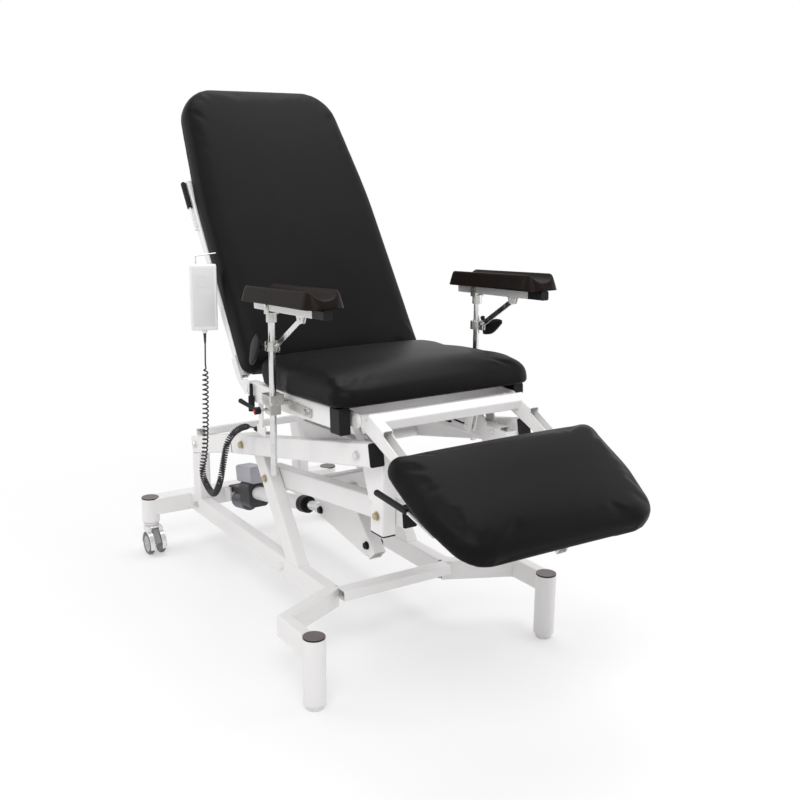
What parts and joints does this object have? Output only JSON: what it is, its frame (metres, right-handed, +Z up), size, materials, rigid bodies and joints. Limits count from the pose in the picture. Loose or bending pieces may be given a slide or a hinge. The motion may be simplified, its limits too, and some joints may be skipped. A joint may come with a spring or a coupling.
{
  "type": "phlebotomy chair",
  "caption": "Reclining chair for drawing blood: powered lift on a wheeled steel base, black cushions, hinged back and leg rests, swivelling armrests and a wired handset.",
  "frame": {"origin": "on the floor, under the centre of the chair's box in the pictured pose", "axes": "+Z up, -Y the way the sitter faces, +X the sitter's left"},
  "size_m": [0.822, 1.7889, 1.5687],
  "materials": {
    "arm_pad": "semi-gloss moulded skin foam",
    "black_cap": "satin black",
    "control": "pale lilac-grey plastic",
    "cord": "black curly cord",
    "gear": "dark grey casting",
    "handset": "pale plastic",
    "motor": "blue-grey paint",
    "pedal": "grey plastic",
    "rocker": "pale grey key",
    "steel": "bright plated",
    "vinyl": "smooth black vinyl with a soft grain",
    "wheel": "grey tread",
    "white_coat": "white powder coat",
    "zinc": "zinc plated"
  },
  "bodies": {
    "base": {"base_frame": "white_coat", "base_rear_beam": "white_coat", "front_legs": "white_coat", "base_plugs": "black_cap", "tower_left": "white_coat", "tower_right": "white_coat", "tower_tie_tube": "white_coat", "base_fasteners": "steel", "actuator_bracket": "white_coat"},
    "castor_left": {"castor_fork_left": "zinc"},
    "castor_wheels_left": {"castor_wheels_left": "wheel"},
    "castor_pedal_left": {"castor_pedal_left": "pedal"},
    "castor_right": {"castor_fork_right": "zinc"},
    "castor_wheels_right": {"castor_wheels_right": "wheel"},
    "castor_pedal_right": {"castor_pedal_right": "pedal"},
    "upper_link": {"upper_arms": "white_coat", "upper_arm_plugs": "black_cap"},
    "lower_link": {"lower_arms": "white_coat", "lower_arm_trim": "black_cap"},
    "seat": {"seat_frame": "white_coat", "seat_blocks": "black_cap", "seat_cushion": "vinyl", "seat_fasteners": "steel", "arm_carriers": "zinc", "cord_bracket": "white_coat", "back_gas_cylinder": "gear", "leg_gas_cylinder": "gear", "handset_cord": "cord"},
    "back": {"back_frame": "white_coat", "back_cushion": "vinyl", "handset": "handset", "handset_hook": "steel"},
    "handset_rocker": {"handset_rocker": "rocker"},
    "back_release": {"back_release_lever": "steel"},
    "leg": {"leg_frame": "white_coat", "leg_cushion": "vinyl"},
    "leg_release": {"leg_release_lever": "steel"},
    "back_spring": {"back_gas_rod": "steel"},
    "leg_spring": {"leg_gas_rod": "steel"},
    "actuator": {"actuator_housing": "gear", "actuator_motor": "motor", "control_box": "control"},
    "actuator_rod": {"actuator_rod": "steel"},
    "post_left": {"arm_post_left": "zinc"},
    "head_left": {"arm_head_left": "zinc"},
    "arm_left": {"arm_tube_left": "white_coat", "arm_pad_left": "arm_pad"},
    "collar_left": {"post_collar_left": "zinc"},
    "brace_left": {"arm_brace_left": "zinc"},
    "knob_left": {"collar_knob_left": "black_cap"},
    "clamp_left": {"clamp_lever_left": "black_cap"},
    "post_right": {"arm_post_right": "zinc"},
    "head_right": {"arm_head_right": "zinc"},
    "arm_right": {"arm_tube_right": "white_coat", "arm_pad_right": "arm_pad"},
    "collar_right": {"post_collar_right": "zinc"},
    "brace_right": {"arm_brace_right": "zinc"},
    "knob_right": {"collar_knob_right": "black_cap"},
    "clamp_right": {"clamp_lever_right": "black_cap"}
  },
  "joints": [
    {"name": "castor_swivel_left", "type": "hinge", "parent": "base", "child": "castor_left", "pos_m": [-0.353, 0.8645, 0.106], "axis": [0, 0, 1], "continuous": true},
    {"name": "castor_roll_left", "type": "hinge", "parent": "castor_left", "child": "castor_wheels_left", "pos_m": [-0.353, 0.8385, 0.039], "axis": [1, 0, 0], "continuous": true},
    {"name": "castor_brake_left", "type": "hinge", "parent": "castor_left", "child": "castor_pedal_left", "pos_m": [-0.353, 0.8448, 0.094], "axis": [-1, 0, 0], "range_deg": [0, 8]},
    {"name": "castor_swivel_right", "type": "hinge", "parent": "base", "child": "castor_right", "pos_m": [0.353, 0.8645, 0.106], "axis": [0, 0, 1], "continuous": true},
    {"name": "castor_roll_right", "type": "hinge", "parent": "castor_right", "child": "castor_wheels_right", "pos_m": [0.353, 0.8385, 0.039], "axis": [1, 0, 0], "continuous": true},
    {"name": "castor_brake_right", "type": "hinge", "parent": "castor_right", "child": "castor_pedal_right", "pos_m": [0.353, 0.8448, 0.094], "axis": [-1, 0, 0], "range_deg": [0, 8]},
    {"name": "lift", "type": "hinge", "parent": "base", "child": "upper_link", "pos_m": [0, 0.3125, 0.508], "axis": [-1, 0, 0], "range_deg": [-17, 4]},
    {"name": "lower_swing", "type": "hinge", "parent": "base", "child": "lower_link", "pos_m": [0, 0.2375, 0.415], "axis": [-1, 0, 0], "range_deg": [-19.1, 4.85]},
    {"name": "seat_level", "type": "hinge", "parent": "upper_link", "child": "seat", "pos_m": [0, -0.3695, 0.65], "axis": [-1, 0, 0], "range_deg": [-2.57, 10.13]},
    {"name": "actuator_swing", "type": "hinge", "parent": "base", "child": "actuator", "pos_m": [-0.06, 0.7945, 0.2], "axis": [1, 0, 0], "range_deg": [-0.55, 2.15]},
    {"name": "actuator_stroke", "type": "slide", "parent": "actuator", "child": "actuator_rod", "axis": [0, -0.9835, 0.181], "range_m": [-0.03965, 0.01006]},
    {"name": "backrest", "type": "hinge", "parent": "seat", "child": "back", "pos_m": [0, 0.1625, 0.722], "axis": [-1, 0, 0], "range_deg": [-15, 56], "deforming": ["handset_cord"]},
    {"name": "back_spring_stroke", "type": "slide", "parent": "seat", "child": "back_spring", "axis": [0, 1, 0.0049], "range_m": [-0.06677, 0.01909]},
    {"name": "legrest", "type": "hinge", "parent": "seat", "child": "leg", "pos_m": [0, -0.3545, 0.732], "axis": [1, 0, 0], "range_deg": [-30, 0]},
    {"name": "leg_spring_stroke", "type": "slide", "parent": "seat", "child": "leg_spring", "axis": [0, -0.9999, -0.014], "range_m": [-0.00073, 0.037]},
    {"name": "back_release", "type": "hinge", "parent": "back", "child": "back_release", "pos_m": [-0.28, 0.48808, 1.14332], "axis": [1, 0, 0], "range_deg": [0, 8], "stiffness_Nm_per_rad": 0.6, "springref_deg": -5.73},
    {"name": "leg_release", "type": "hinge", "parent": "leg", "child": "leg_release", "pos_m": [-0.28, -0.74203, 0.56232], "axis": [1, 0, 0], "range_deg": [0, 6], "stiffness_Nm_per_rad": 1.2, "springref_deg": -17.19},
    {"name": "handset_rocker_tilt", "type": "hinge", "parent": "back", "child": "handset_rocker", "pos_m": [-0.35103, 0.33069, 1.008], "axis": [-0.9397, 0.342, 0], "range_deg": [-2.5, 2.5], "stiffness_Nm_per_rad": 0.05},
    {"name": "arm_height_left", "type": "slide", "parent": "seat", "child": "post_left", "axis": [0, 0, 1], "range_m": [-0.05, 0.1]},
    {"name": "arm_swivel_left", "type": "hinge", "parent": "post_left", "child": "head_left", "pos_m": [-0.334, -0.0725, 0.968], "axis": [0, 0, -1], "range_deg": [-10, 90]},
    {"name": "arm_tilt_left", "type": "hinge", "parent": "head_left", "child": "arm_left", "pos_m": [-0.334, -0.0725, 0.99], "axis": [-1, 0, 0], "range_deg": [-12, 8]},
    {"name": "collar_slide_left", "type": "slide", "parent": "head_left", "child": "collar_left", "axis": [0, 0, 1], "range_m": [-0.04173, 0.02827]},
    {"name": "brace_swing_left", "type": "hinge", "parent": "collar_left", "child": "brace_left", "pos_m": [-0.334, -0.1015, 0.889], "axis": [1, 0, 0], "range_deg": [-2.61, 1.76]},
    {"name": "knob_turn_left", "type": "hinge", "parent": "collar_left", "child": "knob_left", "pos_m": [-0.366, -0.0725, 0.884], "axis": [1, 0, 0], "range_deg": [-60, 60]},
    {"name": "clamp_turn_left", "type": "hinge", "parent": "seat", "child": "clamp_left", "pos_m": [-0.38, -0.0725, 0.715], "axis": [1, 0, 0], "range_deg": [-60, 45]},
    {"name": "arm_height_right", "type": "slide", "parent": "seat", "child": "post_right", "axis": [0, 0, 1], "range_m": [-0.05, 0.1]},
    {"name": "arm_swivel_right", "type": "hinge", "parent": "post_right", "child": "head_right", "pos_m": [0.334, -0.0725, 0.968], "axis": [0, 0, 1], "range_deg": [-10, 90]},
    {"name": "arm_tilt_right", "type": "hinge", "parent": "head_right", "child": "arm_right", "pos_m": [0.334, -0.0725, 0.99], "axis": [-1, 0, 0], "range_deg": [-12, 8]},
    {"name": "collar_slide_right", "type": "slide", "parent": "head_right", "child": "collar_right", "axis": [0, 0, 1], "range_m": [-0.04173, 0.02827]},
    {"name": "brace_swing_right", "type": "hinge", "parent": "collar_right", "child": "brace_right", "pos_m": [0.334, -0.1015, 0.889], "axis": [1, 0, 0], "range_deg": [-2.61, 1.76]},
    {"name": "knob_turn_right", "type": "hinge", "parent": "collar_right", "child": "knob_right", "pos_m": [0.366, -0.0725, 0.884], "axis": [1, 0, 0], "range_deg": [-60, 60]},
    {"name": "clamp_turn_right", "type": "hinge", "parent": "seat", "child": "clamp_right", "pos_m": [0.38, -0.0725, 0.715], "axis": [1, 0, 0], "range_deg": [-60, 45]}
  ],
  "couplings": [
    {"joint": "lower_swing", "follows": "lift", "ratio": 1.0963},
    {"joint": "seat_level", "follows": "lift", "ratio": -0.5818},
    {"joint": "actuator_swing", "follows": "lift", "ratio": -0.12355},
    {"joint": "actuator_stroke", "follows": "lift", "m_per_rad": 0.13041},
    {"joint": "back_spring_stroke", "follows": "backrest", "m_per_rad": -0.066628},
    {"joint": "leg_spring_stroke", "follows": "legrest", "m_per_rad": -0.069288},
    {"joint": "collar_slide_left", "follows": "arm_tilt_left", "m_per_rad": 0.19283},
    {"joint": "brace_swing_left", "follows": "arm_tilt_left", "ratio": 0.21013},
    {"joint": "collar_slide_right", "follows": "arm_tilt_right", "m_per_rad": 0.19283},
    {"joint": "brace_swing_right", "follows": "arm_tilt_right", "ratio": 0.21013}
  ]
}
